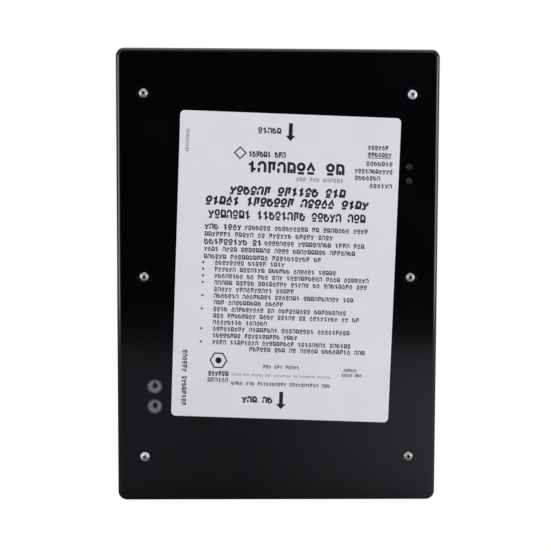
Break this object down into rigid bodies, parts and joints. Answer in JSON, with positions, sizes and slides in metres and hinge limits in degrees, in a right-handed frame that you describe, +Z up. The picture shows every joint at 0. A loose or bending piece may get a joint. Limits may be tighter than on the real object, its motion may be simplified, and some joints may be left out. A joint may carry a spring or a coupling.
{
  "type": "automatic transfer switch box",
  "caption": "Flat black moulded box with a screwed-on labelled cover; switches a motorhome between shore and generator power with rocking relays inside.",
  "frame": {"origin": "centre of the bottom end of the whole box, lenses included", "axes": "+Z up along the long side towards the input end, the cover faces -Y, +X to the right seen from the cover"},
  "size_m": [0.216, 0.0976, 0.3048],
  "materials": {
    "black_plastic": "moulded gloss",
    "label_film": "satin film",
    "circuit_board": "solder mask",
    "zinc_plate": "bright zinc plate",
    "stainless_steel": "satin",
    "clear_lens": "moulded clear",
    "smoked_lens": "smoked",
    "phenolic": "moulded",
    "tinned_copper": "tin plate",
    "brass": "bare",
    "relay_steel": "plated",
    "coil_tape": "polyester tape",
    "white_nylon": "moulded",
    "varistor_coat": "epoxy dip"
  },
  "bodies": {
    "case": {"board_screw_1": "zinc_plate", "board_screw_2": "zinc_plate", "board_screw_3": "zinc_plate", "board_screw_4": "zinc_plate", "control_fuse": "clear_lens", "filter_capacitor": "phenolic", "generator_lug_l1": "tinned_copper", "generator_lug_l2": "tinned_copper", "generator_lug_neutral": "tinned_copper", "generator_terminal_block": "phenolic", "ground_bar": "brass", "l1_relay_coil": "coil_tape", "l1_relay_contact_block": "phenolic", "l1_relay_core": "relay_steel", "l1_relay_spring": "stainless_steel", "l1_relay_yoke": "relay_steel", "l2_relay_coil": "coil_tape", "l2_relay_contact_block": "phenolic", "l2_relay_core": "relay_steel", "l2_relay_spring": "stainless_steel", "l2_relay_yoke": "relay_steel", "load_lug_l1": "tinned_copper", "load_lug_l2": "tinned_copper", "load_lug_neutral": "tinned_copper", "load_terminal_block": "phenolic", "pilot_relay": "white_nylon", "power_board": "circuit_board", "rear_housing": "black_plastic", "service_lamp_lower": "smoked_lens", "service_lamp_upper": "smoked_lens", "service_riser_board": "circuit_board", "shore_lug_l1": "tinned_copper", "shore_lug_l2": "tinned_copper", "shore_lug_neutral": "tinned_copper", "shore_terminal_block": "phenolic", "status_led_lower": "smoked_lens", "status_led_upper": "smoked_lens", "status_riser_board": "circuit_board", "transformer_coil": "coil_tape", "transformer_core": "relay_steel", "varistor_l1": "varistor_coat", "varistor_l2": "varistor_coat"},
    "cover": {"front_cover": "black_plastic", "rating_label": "label_film", "service_lens_upper": "clear_lens", "service_lens_lower": "clear_lens", "cover_screw_bottom_left": "zinc_plate", "cover_screw_bottom_right": "stainless_steel", "cover_screw_middle_left": "stainless_steel", "cover_screw_middle_right": "stainless_steel", "cover_screw_top_left": "stainless_steel", "cover_screw_top_right": "zinc_plate"},
    "l1_armature": {"l1_relay_armature": "relay_steel", "l1_relay_carrier": "phenolic", "l1_relay_arm_line": "brass", "l1_relay_arm_neutral": "brass"},
    "l2_armature": {"l2_relay_armature": "relay_steel", "l2_relay_carrier": "phenolic", "l2_relay_arm_line": "brass", "l2_relay_arm_neutral": "brass"}
  },
  "joints": [
    {"name": "cover_lift", "type": "slide", "parent": "case", "child": "cover", "axis": [0, -1, 0], "range_m": [0, 0.15]},
    {"name": "l1_armature_rock", "type": "hinge", "parent": "case", "child": "l1_armature", "pos_m": [-0.04, -0.00164, 0.11925], "axis": [-1, 0, 0], "range_deg": [0, 3.2], "stiffness_Nm_per_rad": 0.15, "springref_deg": -6.88, "deforming": ["l1_relay_spring"]},
    {"name": "l2_armature_rock", "type": "hinge", "parent": "case", "child": "l2_armature", "pos_m": [0.04, -0.00164, 0.11925], "axis": [-1, 0, 0], "range_deg": [0, 3.2], "stiffness_Nm_per_rad": 0.15, "springref_deg": -6.88, "deforming": ["l2_relay_spring"]}
  ],
  "couplings": [
    {"joint": "l2_armature_rock", "follows": "l1_armature_rock", "ratio": 1}
  ]
}
